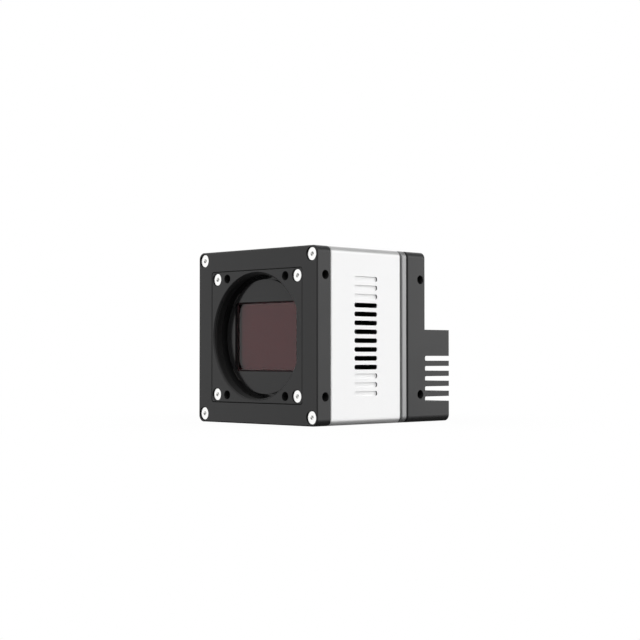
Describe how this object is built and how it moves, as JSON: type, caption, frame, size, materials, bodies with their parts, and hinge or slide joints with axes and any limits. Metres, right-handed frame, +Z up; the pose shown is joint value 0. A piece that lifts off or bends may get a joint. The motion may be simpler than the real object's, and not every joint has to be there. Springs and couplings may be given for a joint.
{
  "type": "machine vision camera",
  "caption": "Box-shaped machine vision camera with a large threaded lens mount, vented sleeve, finned rear block and rear connectors.",
  "frame": {"origin": "on the optical axis, in the plane of the front face", "axes": "-Y is the way the lens looks, +X is to the right seen from the front, +Z is up"},
  "size_m": [0.08, 0.0976, 0.08],
  "materials": {
    "black_anodised": "black anodised, fine satin",
    "white_coating": "white powder coating, fine satin",
    "silver_anodised": "silver anodised, satin",
    "bare_aluminium": "mill finish",
    "bright_screws": "bright nickel plated",
    "steel_screws": "zinc plated",
    "brass_spacers": "turned",
    "black_mask": "matte black anodised",
    "filter_glass": "coated filter glass",
    "sensor_ceramic": "dark ceramic",
    "sensor_silicon": "polished silicon with a colour filter layer",
    "circuit_board": "green solder mask",
    "thermal_pad": "soft silicone",
    "fan_plastic": "moulded black",
    "motor_iron": "laminated iron",
    "chip_plastic": "moulded black",
    "seal_rubber": "black rubber",
    "connector_shell": "nickel plated",
    "connector_plastic": "moulded black",
    "connector_insulator": "white fluoropolymer",
    "light_pipe": "clear moulded"
  },
  "bodies": {
    "camera": {"front_plate": "black_anodised", "lens_mount_plate": "black_anodised", "front_corner_screws": "bright_screws", "mount_plate_screws": "bright_screws", "sensor_mask": "black_mask", "cover_glass": "filter_glass", "sensor_package": "sensor_ceramic", "sensor_die": "sensor_silicon", "sensor_holder": "black_mask", "sensor_holder_screws": "steel_screws", "sensor_board": "circuit_board", "sensor_board_screws": "steel_screws", "sensor_thermal_pad": "thermal_pad", "heat_sink": "bare_aluminium", "heat_sink_spacers": "brass_spacers", "heat_sink_screws": "steel_screws", "fan_frame": "fan_plastic", "fan_bush": "brass_spacers", "fan_stator": "motor_iron", "fan_screws": "steel_screws", "processor_thermal_pad": "thermal_pad", "processor": "chip_plastic", "main_board": "circuit_board", "memory_chips": "chip_plastic", "main_board_spacers": "brass_spacers", "main_board_screws": "steel_screws", "housing_sleeve": "white_coating", "sleeve_seal": "seal_rubber", "middle_ring": "silver_anodised", "rear_seal": "seal_rubber", "rear_housing": "black_anodised", "rear_housing_screws": "bright_screws", "interface_board": "circuit_board", "interface_board_spacers": "brass_spacers", "interface_board_screws": "steel_screws", "board_link": "chip_plastic", "power_connector": "connector_shell", "power_connector_insert": "connector_plastic", "status_light": "light_pipe", "video_board": "circuit_board", "video_connector_1": "connector_shell", "video_contact_1": "connector_insulator", "video_connector_2": "connector_shell", "video_contact_2": "connector_insulator", "video_connector_3": "connector_shell", "video_contact_3": "connector_insulator", "video_connector_4": "connector_shell", "video_contact_4": "connector_insulator"},
    "cooling_fan": {"fan_rotor": "fan_plastic", "fan_shaft": "steel_screws"}
  },
  "joints": [
    {"name": "fan_spin", "type": "hinge", "parent": "camera", "child": "cooling_fan", "pos_m": [0.023, 0.03163, 0], "axis": [1, 0, 0], "continuous": true}
  ]
}
